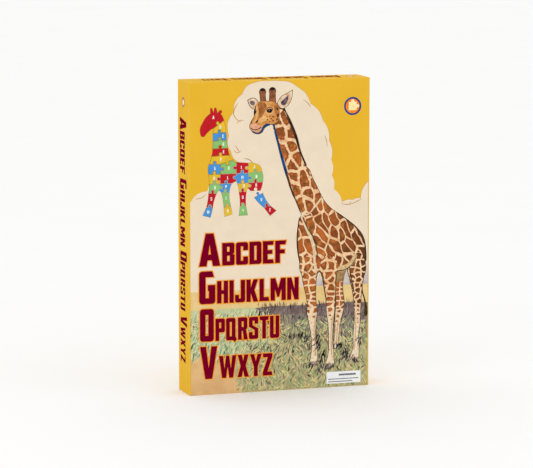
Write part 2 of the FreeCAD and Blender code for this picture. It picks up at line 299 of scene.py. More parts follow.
def greyboard():
    """Recycled solid board: grey-brown, with dark and light fibre flecks."""
    s = Shader("greyboard", 0.9, 0.08)
    base = s.mix(paint(152, 145, 133), paint(143, 136, 124), s.ramp(s.noise(26, 5.0), 0.35, 0.65))
    dark_flecks = s.ramp(s.noise(0.9, 3.0, s.position((3, 3, 1))), 0.58, 0.68, 0.0, 0.8)
    light_flecks = s.ramp(s.noise(1.1, 3.0, s.position((1, 1, 4))), 0.6, 0.7, 0.0, 0.7)
    dark = s.mix(base, paint(106, 98, 88), dark_flecks)
    s.colour(s.mix(dark, paint(192, 184, 170), light_flecks))
    s.bump(s.noise(0.7, 5.0), 0.12)
    return s.material


def insert_board():
    """Laminated board: off-white lining on its faces, and brown plies on its cut edges."""
    s = Shader("insert_board", 0.7, 0.1)
    lining = s.mix(paint(241, 238, 230), paint(235, 231, 222), s.ramp(s.noise(40, 4.0), 0.35, 0.65))
    fibres = s.ramp(s.noise(0.9, 3.0, s.position((4, 4, 1))), 0.6, 0.7, 0.0, 0.5)
    fibred = s.mix(lining, paint(214, 204, 188), fibres)
    bands = {"Vector": s.position(), "Scale": 0.31, "Distortion": 1.2}
    plies = s.ramp(s.node("TexWave", bands, 1, bands_direction="Y"), 0.3, 0.6)
    core = s.mix(paint(168, 134, 96), paint(206, 176, 136), plies)
    s.colour(s.mix(core, fibred, s.ramp(s.facing(), 0.6, 0.8)))
    s.bump(s.noise(0.8, 4.0), 0.06)
    return s.material


def plain_floor():
    """A pale, even floor."""
    s = Shader("floor", 0.8, 0.05)
    s.colour(s.mix(paint(252, 252, 252), paint(249, 249, 248), s.noise(300, 2.0)))
    return s.material


# ---- Flat shapes of ink ----

def plane(across, up, out, start):
    """A plane that is printed on: the artwork's millimetres across and up, its way out, and its start."""
    return Matrix.Translation(start) @ Matrix((across, up, out)).transposed().to_4x4()


FACE = plane((MM, 0, 0), (0, 0, MM), (0, -1, 0), (0, LID_LOW.y, LID_LOW.z))
SPINE = plane((0, 0, -MM), (0, -MM, 0), (-1, 0, 0), (LID_LOW.x, LID_LOW.y, LID_HIGH.z))
TOP = plane((-MM, 0, 0), (0, -MM, 0), (0, 0, 1), (LID_HIGH.x, LID_LOW.y, LID_HIGH.z))


def dress(mesh, material):
    mesh.materials.clear()
    mesh.materials.append(material)


def rides(name, mesh, material, body, slot):
    """A piece of the given mesh that moves with a body."""
    made = bpy.data.objects.new(name, mesh)
    bpy.context.scene.collection.objects.link(made)
    dress(mesh, material)
    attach(made, body)
    return made


CURVE_STEPS = 5             # straight steps that a curve takes from one point to the next


def spline_from(curve, loop):
    """A closed outline. A point is (x, y) on a smooth curve, or (x, y, 1) at a corner."""
    spline = curve.splines.new("BEZIER")
    spline.bezier_points.add(len(loop) - 1)
    spline.use_cyclic_u = True
    spline.resolution_u = CURVE_STEPS
    for bezier, point in zip(spline.bezier_points, loop):
        bezier.co = (point[0], point[1], 0)
        handle = "VECTOR" if len(point) > 2 else "AUTO"
        bezier.handle_left_type = handle
        bezier.handle_right_type = handle


def filled(loops, grow):
    """A thin plate inside closed outlines, one round the other for a hole."""
    curve = bpy.data.curves.new("outline", "CURVE")
    curve.dimensions = "2D"
    curve.fill_mode = "BOTH"
    curve.offset = grow
    curve.extrude = INK_THICKNESS / 2
    for loop in loops:
        spline_from(curve, loop)
    drawn = bpy.data.objects.new("outline", curve)
    bpy.context.scene.collection.objects.link(drawn)
    graph = bpy.context.evaluated_depsgraph_get()
    mesh = bpy.data.meshes.new_from_object(drawn.evaluated_get(graph))
    bpy.data.objects.remove(drawn)
    bpy.data.curves.remove(curve)
    return mesh


SHAPE_STEP = 0.02           # of a layer, between a piece's shapes, which may overlap


def ink(name, shapes, layer, material, grow=0.0, where=FACE, body="lid", slot="printed_wrap"):
    """A layer of ink, grown outwards by so many millimetres. A shape is an outline and then its holes."""
    joined = bmesh.new()
    for i, loops in enumerate(shapes):
        mesh = filled(loops, grow)
        mesh.transform(where @ Matrix.Translation((0, 0, (layer + SHAPE_STEP * i) * INK_STEP)))
        joined.from_mesh(mesh)
        bpy.data.meshes.remove(mesh)
    made = bpy.data.meshes.new(name)
    joined.to_mesh(made)
    joined.free()
    return rides(name, made, material, body, slot)


def stamp(name, shapes, layer, colour, second, patch=24.0, grow=0.0, where=FACE):
    """A layer of plain ink. Its two colours are as seen, from 0 to 255."""
    ink(name, shapes, layer, printed(f"{name}_ink", paint(*colour), paint(*second), patch), grow, where)


def each(*loops):
    """Every loop as a shape of its own."""
    return [[loop] for loop in loops]


def corners(*points):
    """A loop with a corner at every point."""
    return [(x, y, 1) for x, y in points]


def held(loop):
    """The loop with every point held inside the picture."""
    top = FACE_HEIGHT - 2 * BLEED
    line = []
    for x, y, *corner in loop:
        line.append((min(max(x, PICTURE_LEFT), PICTURE_RIGHT), min(y, top), *corner))
    return line


def block(left, bottom, right, top):
    """An upright rectangle."""
    return corners((left, bottom), (right, bottom), (right, top), (left, top))


def oval(x, y, wide, high, tilt=0.0):
    """A round or oval loop."""
    loop = []
    for step in range(8):
        angle = math.tau * step / 8
        across, up = wide / 2 * math.cos(angle), high / 2 * math.sin(angle)
        loop.append((x + across * math.cos(tilt) - up * math.sin(tilt),
                     y + across * math.sin(tilt) + up * math.cos(tilt)))
    return loop


def ribbon(points, start, middle, end):
    """A loop along a line of points, as wide as given at its start, middle and end."""
    left, right = [], []
    for i, (x, y) in enumerate(points):
        before, after = points[max(i - 1, 0)], points[min(i + 1, len(points) - 1)]
        along = math.atan2(after[1] - before[1], after[0] - before[0])
        t = 2 * i / (len(points) - 1)
        width = start + (middle - start) * t if t < 1 else middle + (end - middle) * (t - 1)
        across, up = -math.sin(along) * width / 2, math.cos(along) * width / 2
        left.append((x + across, y + up))
        right.append((x - across, y - up))
    return left + right[::-1]


def billows(points, puff):
    """A line of round puffs from point to point, each bulging to the left of its direction."""
    line = []
    for (x0, y0), (x1, y1) in zip(points, points[1:]):
        line.append((x0, y0, 1))
        for share in (0.2, 0.5, 0.8):
            rise = puff * math.sin(math.pi * share)
            along_x, along_y = x0 + (x1 - x0) * share, y0 + (y1 - y0) * share
            line.append((along_x - (y1 - y0) * rise, along_y + (x1 - x0) * rise))
    return line


# ---- Lettering: heavy block capitals, ten units high, as one or more closed outlines ----

ROUND_O = [(0.9, 0), (0, 0.9), (0, 9.1), (0.9, 10), (4.1, 10), (5, 9.1), (5, 0.9), (4.1, 0)]
TWO_ARMS = [(0, 0), (0, 10), (4.6, 10), (4.2, 8.2), (2, 8.2), (2, 6), (4, 6), (4, 4.2), (2, 4.2)]
SLOT = [(2, 1.8), (3, 1.8), (3, 8.2), (2, 8.2)]
UPPER_SLOT = [(2, 5.7), (3, 5.7), (3, 8.2), (2, 8.2)]
GLYPHS = {
    "A": [[(0, 0), (1.9, 10), (4.1, 10), (6, 0), (3.9, 0), (3.6, 1.8), (2.4, 1.8), (2.1, 0)],
          [(2.65, 3.6), (3.35, 3.6), (3, 6.6)]],
    "B": [[(0, 0), (0, 10), (4.2, 10), (5, 9.2), (5, 5.8), (4.4, 5.2), (5.1, 4.6), (5.1, 0.8), (4.3, 0)],
          [(2, 6.1), (3, 6.1), (3, 8.3), (2, 8.3)], [(2, 1.8), (3.1, 1.8), (3.1, 4.3), (2, 4.3)]],
    "C": [ROUND_O[:6] + [(5, 6.4), (3, 6.4), (3, 8.2), (2, 8.2), (2, 1.8), (3, 1.8), (3, 3.6), (5, 3.6)]
          + ROUND_O[6:]],
    "D": [[(0, 0), (0, 10), (4, 10), (5, 9), (5, 1), (4, 0)], SLOT],
    "E": [TWO_ARMS + [(2, 1.8), (4.2, 1.8), (4.6, 0)]],
    "F": [TWO_ARMS + [(2, 0)]],
    "G": [ROUND_O[:5] + [(4.6, 8.2), (2, 8.2), (2, 1.8), (3, 1.8), (3, 4), (2.7, 4), (2.7, 5.8), (5, 5.8)]
          + ROUND_O[6:]],
    "H": [[(0, 0), (0, 10), (2, 10), (2, 5.9), (3, 5.9), (3, 10), (5, 10), (5, 0), (3, 0), (3, 4.1),
           (2, 4.1), (2, 0)]],
    "I": [[(0, 0), (0, 10), (2, 10), (2, 0)]],
    "J": [[(0.9, 0), (0, 0.9), (0, 3.4), (1.8, 3.4), (1.8, 1.8), (2.6, 1.8), (2.6, 10), (4.6, 10),
           (4.6, 0.9), (3.7, 0)]],
    "K": [[(0, 0), (0, 10), (2, 10), (2, 6.4), (3.2, 10), (5.3, 10), (3.7, 5.2), (5.4, 0), (3.2, 0),
           (2, 3.8), (2, 0)]],
    "L": [[(0, 0), (0, 10), (2, 10), (2, 1.8), (4.1, 1.8), (4.5, 0)]],
    "M": [[(0, 0), (0, 10), (2.2, 10), (3.5, 5.6), (4.8, 10), (7, 10), (7, 0), (5, 0), (5, 5), (3.9, 1.6),
           (3.1, 1.6), (2, 5), (2, 0)]],
    "N": [[(0, 0), (0, 10), (2, 10), (3.4, 5), (3.4, 10), (5.3, 10), (5.3, 0), (3.4, 0), (1.9, 5),
           (1.9, 0)]],
    "O": [ROUND_O, SLOT],
    "P": [[(0, 0), (0, 10), (4.1, 10), (5, 9.1), (5, 4.7), (4.1, 3.8), (2, 3.8), (2, 0)], UPPER_SLOT],
    "Q": [ROUND_O[:6] + [(5, 1.6), (5.7, 0.4), (4.6, -0.9), (3.6, 0)], SLOT],
    "R": [[(0, 0), (0, 10), (4.1, 10), (5, 9.1), (5, 5.4), (4.3, 4.6), (5.2, 0), (3.1, 0), (2.5, 3.9),
           (2, 3.9), (2, 0)], UPPER_SLOT],
    "S": [[(0.9, 0), (0, 0.9), (0, 3.2), (2, 3.2), (2, 1.8), (3, 1.8), (3, 4.1), (0, 5.6), (0, 9.1),
           (0.9, 10), (4.1, 10), (5, 9.1), (5, 6.8), (3, 6.8), (3, 8.2), (2, 8.2), (2, 6.2), (5, 4.7),
           (5, 0.9), (4.1, 0)]],
    "T": [[(1.5, 0), (1.5, 8.2), (0.3, 8.2), (0, 10), (5, 10), (4.7, 8.2), (3.5, 8.2), (3.5, 0)]],
    "U": [[(0.9, 0), (0, 0.9), (0, 10), (2, 10), (2, 1.8), (3, 1.8), (3, 10), (5, 10), (5, 0.9), (4.1, 0)]],
    "V": [[(0, 10), (2.1, 10), (3, 3.4), (3.9, 10), (6, 10), (4.2, 0), (1.8, 0)]],
    "W": [[(0, 10), (2.1, 10), (2.8, 4.2), (3.6, 10), (5.2, 10), (6, 4.2), (6.7, 10), (8.8, 10), (7.2, 0),
           (5.2, 0), (4.4, 5), (3.6, 0), (1.6, 0)]],
    "X": [[(0, 0), (1.6, 5), (0.1, 10), (2.3, 10), (2.9, 7.2), (3.5, 10), (5.7, 10), (4.2, 5), (5.8, 0),
           (3.6, 0), (2.9, 2.9), (2.2, 0)]],
    "Y": [[(2, 0), (2, 4.2), (0, 10), (2.2, 10), (3, 6.8), (3.8, 10), (6, 10), (4, 4.2), (4, 0)]],
    "Z": [[(0, 0), (0, 1.6), (2.5, 8.2), (0.2, 8.2), (0, 10), (4.9, 10), (4.9, 8.4), (2.4, 1.8),
           (4.6, 1.8), (4.9, 0)]],
}
LETTER_GAP = 0.55
NEAR, FAR = 0.134, 0.866    # shares of a quarter round's reach, a third and two thirds of the way round
SLANT_LOW, SLANT_HIGH = 0.5, 1.05   # how far a slanted corner that gets rounded reaches


def rounded(loop):
    """The outline with its short slanted corners turned into quarter rounds."""
    line = []
    for i, (x, y) in enumerate(loop):
        line.append((x, y))
        (before_x, before_y), (next_x, next_y) = loop[i - 1], loop[(i + 1) % len(loop)]
        short = all(SLANT_LOW < abs(reach) < SLANT_HIGH for reach in (next_x - x, next_y - y))
        if short and before_y == y:
            line += [(x + 0.5 * (next_x - x), y + NEAR * (next_y - y)),
                     (x + FAR * (next_x - x), y + 0.5 * (next_y - y))]
        elif short and before_x == x:
            line += [(x + NEAR * (next_x - x), y + 0.5 * (next_y - y)),
                     (x + 0.5 * (next_x - x), y + FAR * (next_y - y))]
    return line


def glyph_width(letter):
    return max(point[0] for point in GLYPHS[letter][0])


def letter_shape(letter, left, foot, across, up):
    """A capital's outlines from its lower left corner, with the sizes of a unit across and up."""
    shape = []
    for loop in GLYPHS[letter]:
        shape.append(corners(*[(left + x * across, foot + y * up) for x, y in rounded(loop)]))
    return shape


def lettering(word, x, y, tall, small, width):
    """The shapes of a word's letters, the first one tall and the rest small, fitted to a width."""
    units = [tall / 10] + [small / 10] * (len(word) - 1)
    natural = sum((glyph_width(c) + LETTER_GAP) * unit for c, unit in zip(word, units))
    stretch = width / (natural - LETTER_GAP * units[-1])
    shapes = []
    for letter, unit in zip(word, units):
        shapes.append(letter_shape(letter, x, y, unit * stretch, unit))
        x += (glyph_width(letter) + LETTER_GAP) * unit * stretch
    return shapes


# ---- The picture on the lid's face ----

def draw_sky():
    """The cloud and, under it, the pale sky, with brown pen lines on the cloud's edge."""
    right = billows([(-36, 427), (2, 428), (24, 420), (44, 396), (62, 372), (71, 344), (74, 318), (75, 296),
                     (78, 277), (90, 258.5), (106, 261), (117.5, 263), (PICTURE_RIGHT, 286)], 0.11)
    left = billows([(PICTURE_LEFT, 266), (-104, 281), (-86, 300), (-56, 318), (-70, 334), (-73, 356),
                    (-66, 388), (-54, 412), (-36, 427)], 0.16)
    sides = corners((PICTURE_RIGHT, 286), (PICTURE_RIGHT, 120), (PICTURE_LEFT, 120))
    outline = held(right + sides + left)
    stamp("cloud_line", [[outline]], 1, (190, 138, 72), (214, 170, 96), grow=0.5)
    ink("sky", [[outline]], 2, sky_ink())
    folds = [
        [(-60, 400), (-65, 392), (-67, 383)],
        [(-67, 388), (-64, 380), (-56, 374)],
        [(-62, 372), (-57, 376), (-52, 376)],
        [(-64, 342), (-60, 336), (-58, 333)],
        [(-66, 336), (-61, 332), (-56, 335)],
        [(-52, 324), (-44, 322), (-38, 316)],
        [(33, 402), (40, 397), (44, 391)],
        [(64, 352), (67, 345), (68, 336)],
        [(89, 257), (99, 255), (104, 259)],
        [(100, 254), (110, 258), (119, 262)],
        [(-121, 271), (-113, 272), (-106, 277)],
    ]
    lines = each(*[ribbon(fold, 0.2, 1.0, 0.2) for fold in folds])
    stamp("cloud_folds", lines, 3, (196, 150, 92), (170, 120, 64))


def draw_land():
    """The dry plain below the horizon, and the grass and bare ground in front of it."""
    plain = block(PICTURE_LEFT, 108, PICTURE_RIGHT, HORIZON)
    ink("plain", [[plain]], 3, printed("plain_ink", TAN, paint(224, 190, 124), 16, fibrous=True))
    meadow = block(PICTURE_LEFT, BLEED, PICTURE_RIGHT, GRASS_TOP)
    meadow_ink = printed("meadow_ink", paint(166, 160, 112), paint(192, 182, 138), 8, fibrous=True)
    ink("meadow", [[meadow]], 4, meadow_ink)
    green = [(PICTURE_LEFT, 117.4, 1), (-90, 117.8), (-60, 118), (-38, 117.4, 1), (-28, 112), (-16, 104),
             (-2, 92), (-6, 80), (-30, 66), (-60, 60), (-96, 49), (PICTURE_LEFT, 47, 1)]
    stamp("green_meadow", [[green]], 5, (178, 190, 142), (204, 206, 160), 9)
    band = [(-36, GRASS_TOP, 1), (20, 118), (60, 117), (100, 119), (PICTURE_RIGHT, GRASS_TOP, 1),
            (PICTURE_RIGHT, 66, 1), (96, 70), (60, 78), (30, 84), (6, 96), (-16, 105)]
    stamp("shaded_meadow", [[band]], 5.5, (138, 130, 112), (160, 154, 120), 9)
    strip = [(-36, GRASS_TOP, 1), (-10, 118.5), (30, 117), (70, 118.5), (100, 117.5),
             (PICTURE_RIGHT, GRASS_TOP, 1), (PICTURE_RIGHT, 92, 1), (98, 96), (70, 99), (40, 104),
             (10, 106), (-22, 109)]
    stamp("dark_strip", [[strip]], 6, (106, 90, 86), (132, 116, 106), 7)
    ground = [(PICTURE_LEFT, 50, 1), (-108, 52), (-84, 46), (-68, 38), (-64, 20), (-54, BLEED, 1),
              (PICTURE_LEFT, BLEED, 1)]
    stamp("bare_ground", [[ground]], 6, (226, 186, 130), (214, 170, 116), 22)


GRASS_LAYER = 7
GRASS_STEP = 0.25           # of a layer, between one kind of blade and the next
GRASS = [
    # name, colour, count, low and high x, low and high y, lean and swing in degrees, length, width
    ("mint_blades", (120, 160, 118), 360, -127, -14, 54, 118, 22, 10, 14, 1.8),
    ("pale_mint_blades", (208, 212, 168), 330, -127, -12, 54, 117, 26, 10, 13, 1.7),
    ("straw_blades", (230, 212, 164), 260, -127, -8, 52, 116, 32, 12, 12, 1.4),
    ("plum_blades", (98, 80, 80), 300, -30, 127, 96, 117, 4, 6, 11, 1.5),
    ("lilac_blades", (152, 136, 130), 240, -12, 127, 90, 116, 8, 8, 12, 1.4),
    ("plum_tips", (108, 86, 90), 190, -36, 127, 115, 125, 2, 10, 10, 1.4),
    ("taupe_blades", (120, 108, 100), 330, -6, 127, 60, 106, 12, 26, 12, 1.6),
    ("sage_blades", (132, 146, 104), 430, -58, 127, 3, 104, 0, 50, 11, 1.9),
    ("dusk_blades", (108, 94, 92), 430, -50, 127, 3, 92, 4, 54, 10, 1.6),
    ("mist_blades", (164, 182, 132), 330, -60, 127, 3, 100, 2, 52, 11, 1.9),
    ("lime_blades", (206, 204, 136), 330, -62, 127, 3, 98, -2, 52, 11, 1.6),
    ("sand_blades", (228, 200, 144), 430, -60, 127, 3, 100, 6, 50, 10, 1.6),
    ("rust_flecks", (176, 104, 66), 36, -54, 127, 4, 96, 10, 40, 4, 1.8),
]
DARK_TUFTS = [
    # middle x, middle y, half width, half height, count
    (28, 79, 18, 4, 34), (57, 68, 5, 12, 26), (65, 52, 3, 6, 16), (59, 37, 5, 14, 24), (87, 62, 8, 5, 18),
    (96, 52, 9, 14, 36), (46, 37, 8, 3, 12), (74, 32, 9, 3, 14), (107, 40, 9, 3, 12), (41, 68, 3, 8, 9),
    (-22, 64, 16, 6, 9), (10, 60, 22, 6, 12), (118, 66, 8, 8, 9), (20, 40, 60, 30, 26),
]
LOW_TUFT_LAYER = 10.2       # under the title
HIGH_TUFT_LAYER = 15.5      # over the hooves
TUFT_FLOOR = 10             # no dark tuft ends lower than this
TITLE_END = 25              # tufts to the left of this lie under the title
WIDEST = 0.55               # of a blade's length, from its tip to its widest place


class Blades:
    """Leaf-shaped strokes of ink, each a thin closed prism, gathered in one mesh."""

    def __init__(self):
        self.points = []
        self.faces = []

    def add(self, x, y, lean, length, width, bend):
        """A stroke whose tip is at (x, y). It is cut short where it would leave the face."""
        angle = math.radians(90 - lean)
        along = Vector((math.cos(angle), math.sin(angle)))
        length = min(length, max(1.5, (y - 1.5 * BLEED) / max(0.2, along.y)))
        across = Vector((-along.y, along.x)) * width / 2
        tip = Vector((x, y))
        tail, middle = tip - along * length, tip - along * length * WIDEST + across * bend
        first = len(self.points)
        for z in (0, INK_THICKNESS):
            for corner in (tail, middle - across, tip, middle + across):
                inside = min(max(corner.x, PICTURE_LEFT), PICTURE_RIGHT)
                self.points.append((inside, corner.y, z))
        a, b = [first + i for i in range(4)], [first + 4 + i for i in range(4)]
        self.faces += [a[::-1], b] + [(a[i], a[(i + 1) % 4], b[(i + 1) % 4], b[i]) for i in range(4)]

    def finish(self, name, layer, material):
        mesh = bpy.data.meshes.new(name)
        mesh.from_pydata(self.points, [], self.faces)
        mesh.transform(FACE @ Matrix.Translation((0, 0, layer * INK_STEP)))
        rides(name, mesh, material, "lid", "printed_wrap")


def draw_blades(chance):
    """Brush strokes that lean in patches, one way and then the other."""
    for i, row in enumerate(GRASS):
        name, colour, count, low_x, high_x, low_y, high_y, lean, swing, length, width = row
        blades = Blades()
        for _ in range(count):
            x, y = chance.uniform(low_x, high_x), chance.uniform(low_y, high_y)
            sway = math.sin(x * 0.17 + 2.1 * math.sin(y * 0.13 + 0.05 * x))
            angle = lean + swing * sway + chance.gauss(0, 6)
            blades.add(x, y, angle, length * chance.uniform(0.5, 1.15), width * chance.uniform(0.6, 1.0),
                       chance.uniform(-1.2, 1.2))
        tint = paint(*colour)
        blade_ink = printed(f"{name}_ink", tint, shade(tint, 1.15), 6)
        blades.finish(name, GRASS_LAYER + GRASS_STEP * i, blade_ink)


def draw_tufts(chance):
    """Dark tufts under the title and round the giraffe's hooves."""
    low_tufts, high_tufts = Blades(), Blades()
    for x, y, wide, high, count in DARK_TUFTS:
        tufts = high_tufts if x > TITLE_END else low_tufts
        for _ in range(count):
            tip_x, tip_y = chance.gauss(x, wide / 2), max(TUFT_FLOOR, chance.gauss(y, high / 2))
            tufts.add(tip_x, tip_y, chance.gauss(14, 20), chance.uniform(5, 11), chance.uniform(1.0, 1.9),
                      chance.uniform(-1, 1))
    tuft_ink = printed("tuft_ink", paint(58, 50, 56), paint(98, 88, 88), 5)
    low_tufts.finish("dark_tufts", LOW_TUFT_LAYER, tuft_ink)
    high_tufts.finish("hoof_tufts", HIGH_TUFT_LAYER, tuft_ink)


BODY = [
    (10, 300), (14, 286), (23, 265), (31, 246), (27, 232), (24.5, 212), (26, 190), (30, 172), (33, 156, 1),
    (53, 156, 1), (57, 163), (61, 156, 1), (82, 160, 1), (92, 164), (100, 170), (104, 160, 1),
    (120, 150, 1), (124, 172), (124.6, 192), (121, 208), (113, 220), (100, 232), (86, 242), (71, 253),
    (59, 269), (48, 291), (38, 309), (20, 312),
]
NECK = [
    (-7.5, 374), (-7, 365), (-4, 354), (2, 332), (9, 309), (16, 286), (23, 265), (31, 246, 1), (38, 244),
    (48, 252), (61, 266, 1), (48, 291), (37.5, 309), (27.5, 331), (20.5, 352), (12, 372), (3.5, 389),
    (-4, 388),
]
NEAR_FORELEG = [
    (30, 178), (32.5, 156), (36.5, 138), (40, 120), (39.5, 106), (42, 94), (45.5, 75), (46.5, 60),
    (45.5, 47), (43, 36, 1), (55, 36, 1), (54, 50), (52, 64), (51.5, 80), (52.5, 95), (53.5, 107),
    (52, 121), (51.5, 136), (52.5, 156), (54, 170), (44, 186),
]
OTHER_FORELEG = [
    (58, 172), (61.5, 156), (64, 141), (67.5, 121), (68, 106), (70.5, 88), (71.5, 64), (70.5, 46),
    (66, 32, 1), (79, 32, 1), (78, 48), (76.5, 64), (77.5, 85), (79.5, 100), (80.5, 118), (80.5, 136),
    (82, 156), (84, 172), (72, 186),
]
FAR_HIND_LEG = [
    (81, 166, 1), (81, 140), (82, 118), (80.5, 100), (80.5, 84), (79.5, 70), (78, 55, 1), (84, 55, 1),
    (85.5, 74), (88, 92), (92.5, 110), (93, 122), (91, 137), (92, 152), (97, 168, 1),
]
FAR_THIGH = [(82, 166, 1), (81.6, 150), (86, 147), (90.5, 150), (96, 167, 1)]
NEAR_HIND_LEG = [
    (99, 170), (102, 150), (106, 134), (108.5, 112), (109, 92), (107.5, 72), (107, 54), (102, 39, 1),
    (115, 39, 1), (115.3, 56), (114.5, 72), (116.5, 88), (117.5, 110), (118.5, 130), (121, 148),
    (124.4, 172), (112, 188),
]
HEAD = [
    (-33.8, 398), (-36.8, 389), (-37, 385), (-37.2, 381), (-40.5, 375), (-43.4, 368.5), (-42.2, 363.6),
    (-37.5, 360.4), (-31, 358.8), (-27.6, 361.6), (-24.5, 367.4), (-18.5, 370.8), (-12, 369.6),
    (-6.5, 371.6), (-2.2, 376), (-0.6, 383), (-1, 391), (-5, 397.5), (-19, 401),
]
LEFT_HORN = [
    (-27, 398, 1), (-28.5, 410), (-28.8, 416), (-25, 418.5), (-21.4, 416), (-21.6, 410), (-20, 398, 1),
]
RIGHT_HORN = [
    (-15.5, 398, 1), (-14.6, 411), (-14.8, 417), (-11, 419.5), (-7, 417), (-7.2, 411), (-6.5, 398, 1),
]
LEFT_EAR = [
    (-31, 399, 1), (-36, 405), (-41, 405.5), (-46, 403, 1), (-43, 396), (-38, 391.5), (-33.5, 392, 1),
]
RIGHT_EAR = [
    (-4, 398, 1), (1, 406), (9, 410.5), (17.5, 415, 1), (16.5, 405), (11, 395), (4, 391), (0, 392, 1),
]


def draw_giraffe():
    """A giraffe that stands in the grass and looks to the left, drawn far parts first."""
    draw_giraffe_edges()
    far_ink = coat_ink("far_leg_ink", 7.4, 2.0, 0.0, 1.1, sink=0.002, fade=(74, 116))
    ink("far_hind_leg", [[FAR_HIND_LEG]], 12, far_ink)
    stamp("far_thigh", [[FAR_THIGH]], 12.5, (176, 142, 94), (138, 104, 64), 5)
    body_ink = coat_ink("body_ink", 25, 4.4, math.radians(24), 0.9, 0.0042, dark_side=(60, 128))
    ink("giraffe_body", [[BODY]], 13, body_ink)
    dark_edges = each(
        ribbon([(84, 243), (100, 232), (113, 220), (121, 208), (124.6, 192), (124.4, 174)], 0.6, 2.6, 1.4),
        ribbon([(10, 300), (13.5, 286), (22.5, 265), (30.6, 246)], 0.8, 3.2, 1.0),
        ribbon([(28, 240), (25, 212), (26.4, 190), (32, 162)], 0.6, 2.0, 0.8),
    )
    stamp("dark_edges", dark_edges, 13.5, (44, 32, 28), (84, 58, 40), 6)
    neck_ink = coat_ink("neck_ink", 13, 2.9, math.radians(18), 1.7, dark_side=(38, 100))
    ink("giraffe_neck", [[NECK]], 14, neck_ink)
    foreleg_ink = coat_ink("foreleg_ink", 11.5, 3.2, 0.0, 1.1, sink=0.0045, fade=(74, 120))
    ink("near_foreleg", [[NEAR_FORELEG]], 14, foreleg_ink)
    ink("other_foreleg", [[OTHER_FORELEG]], 14, foreleg_ink)
    hind_ink = coat_ink("hind_leg_ink", 8.5, 2.3, 0.0, 1.1, sink=0.003, fade=(74, 118), dark_side=(84, 124))
    ink("near_hind_leg", [[NEAR_HIND_LEG]], 14, hind_ink)
    draw_giraffe_shading()
    draw_giraffe_head()


def draw_giraffe_edges():
    """What lies behind the giraffe: its pale halo, dark outline, blue shadow, mane and tail."""
    haloed = each(BODY, NECK, HEAD, RIGHT_EAR)
    stamp("giraffe_halo", haloed, 9.9, (250, 238, 212), (244, 226, 190), 8, 1.9)
    parts = each(BODY, NECK, NEAR_FORELEG, OTHER_FORELEG, FAR_HIND_LEG, NEAR_HIND_LEG, HEAD, LEFT_HORN,
                 RIGHT_HORN, LEFT_EAR, RIGHT_EAR)
    stamp("giraffe_outline", parts, 10.2, (40, 28, 24), (92, 66, 34), 5, 0.8)
    throat = [(-7.4, 363), (-2, 340), (6, 312), (13, 288), (20, 268)]
    jaw = [(-41, 361.6), (-34, 357.6), (-27, 359.4), (-23, 366), (-16, 369.4), (-10, 369), (-7.8, 362)]
    blue_edge = each(ribbon(throat, 1.6, 4.0, 0.8), ribbon(jaw, 0.8, 3.6, 1.8))
    stamp("blue_shadow", blue_edge, 11, (8, 78, 126), (16, 44, 72), 6)
    mane = ribbon([(1.4, 392.4), (8.2, 383), (16.2, 367), (23.2, 350), (29, 331), (38, 311)], 3.6, 5.0, 0.8)
    stamp("mane", [[mane]], 11.3, (30, 24, 24), (76, 46, 30), 5)
    tail = ribbon([(118, 142), (120.5, 131), (123.5, 122), (125.3, 112), (125.6, 98)], 1.6, 1.8, 2.6)
    stamp("tail", [[tail]], 11.6, (66, 58, 40), (34, 28, 26), 5)


def draw_giraffe_shading():
    """The lines and shadows that part the neck, shoulder, belly and legs."""
    belly = [(83, 163), (86, 169), (94, 171), (103, 177), (110, 186), (112, 182), (106, 171), (98, 165),
             (90, 161.5)]
    stamp("belly", [[belly]], 15, (226, 198, 150), (190, 150, 96), 4)
    pale_lines = each(
        ribbon([(31, 246), (38, 243), (48, 251), (60, 266)], 1.0, 2.2, 1.0),
        ribbon([(31, 243), (36, 228), (44, 212), (49, 196), (50, 178), (53, 162)], 1.6, 5.0, 2.0),
    )
    stamp("pale_folds", pale_lines, 15.3, (236, 214, 180), (212, 180, 138), 5)
    shadows = each(
        ribbon([(33, 240), (40, 224), (49, 210), (53, 196), (54, 180)], 0.8, 2.2, 0.6),
        ribbon([(36, 168), (42, 161), (50, 159), (56, 164)], 0.4, 1.2, 0.6),
        ribbon([(57, 165), (62, 158), (64, 142), (67.5, 122)], 0.6, 1.6, 0.6),
        ribbon([(83, 163), (92, 163.5), (104, 170), (111, 181)], 0.8, 1.6, 0.4),
        ribbon([(82, 160), (80.8, 138), (80.6, 118), (78, 90), (77, 66)], 0.8, 1.5, 0.8),
        ribbon([(101, 168), (104, 150), (108, 132)], 0.6, 1.8, 0.8),
    )
    stamp("body_shadows", shadows, 15.6, (104, 84, 44), (66, 46, 28), 4)
    shank_shades = each(
        ribbon([(51.5, 104), (50, 84), (50.6, 62), (52, 46)], 0.6, 1.8, 0.8),
        ribbon([(77, 100), (75, 84), (74.6, 62), (76, 44)], 0.6, 1.8, 0.8),
        ribbon([(84.6, 96), (83.4, 78), (82.6, 60)], 0.5, 1.6, 0.5),
        ribbon([(110, 104), (110.6, 84), (109.6, 64), (108, 50)], 0.6, 2.0, 0.8),
    )
    stamp("shank_shades", shank_shades, 15.3, (214, 172, 138), (196, 160, 112), 5)
    hooves = each(
        [(44, 38, 1), (54.5, 38, 1), (55, 33), (49, 31), (43, 33)],
        [(66.5, 34, 1), (78.5, 34, 1), (79, 29), (72, 27), (65, 29)],
        [(102.5, 41, 1), (114.6, 41, 1), (114.6, 36), (108, 34.5), (101, 36)],
    )
    stamp("hooves", hooves, 15, (206, 190, 168), (128, 96, 60), 4)


